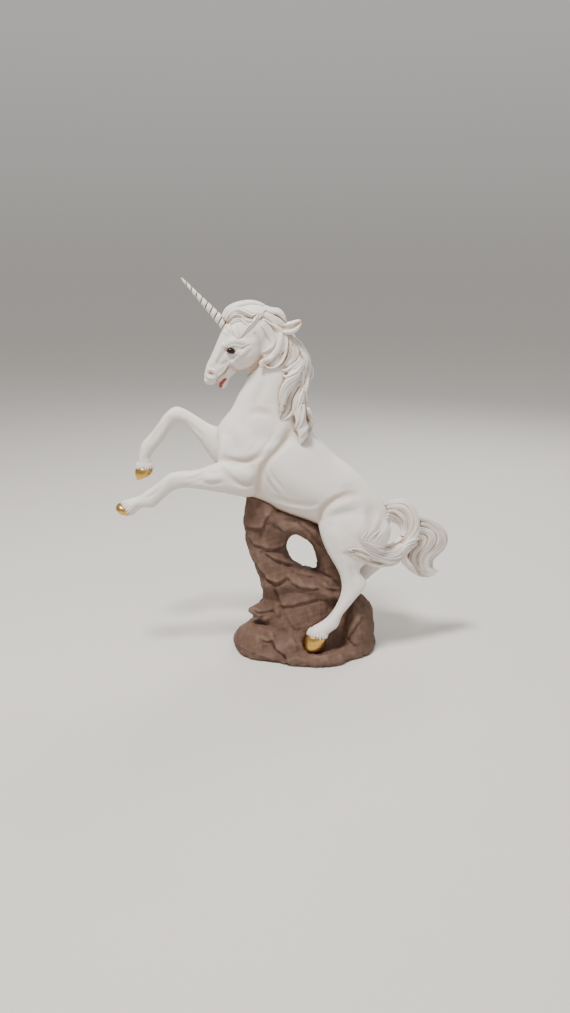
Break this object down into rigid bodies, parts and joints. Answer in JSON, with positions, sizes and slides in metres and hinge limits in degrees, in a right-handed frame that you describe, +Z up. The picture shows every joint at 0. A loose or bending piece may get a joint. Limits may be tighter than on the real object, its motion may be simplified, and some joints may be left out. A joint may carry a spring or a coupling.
{
  "type": "unicorn figurine",
  "caption": "Ceramic unicorn figurine: white animal leaping over a brown rock with a see-through arch, gold hooves, flowing mane and tail, twisted horn.",
  "frame": {"origin": "middle of the rock's flat underside, on the surface that it stands on", "axes": "+Z up; the animal faces -X and its left side is towards -Y; +Y points to its right side"},
  "size_m": [0.3179, 0.1086, 0.3558],
  "materials": {
    "white_bisque": "matte warm white",
    "hair_bisque": "matte warm white, antiqued grooves",
    "horn_bisque": "matte cream with gold-brown twist line",
    "gold_paint": "metallic gold paint, gloss",
    "rock_paint": "matte mauve-brown, dry-brushed",
    "eye_paint": "gloss black",
    "tongue_paint": "satin red"
  },
  "bodies": {
    "root": {"torso": "white_bisque", "neck": "white_bisque", "head": "white_bisque", "lower_jaw": "white_bisque", "left_ear": "white_bisque", "right_ear": "white_bisque", "left_foreleg": "white_bisque", "right_foreleg": "white_bisque", "left_hind_leg": "white_bisque", "right_hind_leg": "white_bisque", "forelock": "hair_bisque", "mane_crest": "hair_bisque", "left_mane_jowl_lock": "hair_bisque", "left_mane_neck_lock": "hair_bisque", "left_mane_end_lock": "hair_bisque", "right_mane_jowl_lock": "hair_bisque", "right_mane_neck_lock": "hair_bisque", "right_mane_end_lock": "hair_bisque", "tail_upper_lock": "hair_bisque", "tail_lower_lock": "hair_bisque", "left_fore_hoof": "gold_paint", "right_fore_hoof": "gold_paint", "left_hind_hoof": "gold_paint", "right_hind_hoof": "gold_paint", "rock_base": "rock_paint", "rock_pillar_foot": "rock_paint", "rock_slab": "rock_paint", "rock_pillar": "rock_paint", "rock_arch": "rock_paint", "rock_spur": "rock_paint", "rock_front_left_boulder": "rock_paint", "rock_front_ridge": "rock_paint", "rock_right_boulder": "rock_paint", "rock_back_boulder": "rock_paint", "horn": "horn_bisque", "left_eye": "eye_paint", "right_eye": "eye_paint", "tongue": "tongue_paint"}
  },
  "joints": []
}
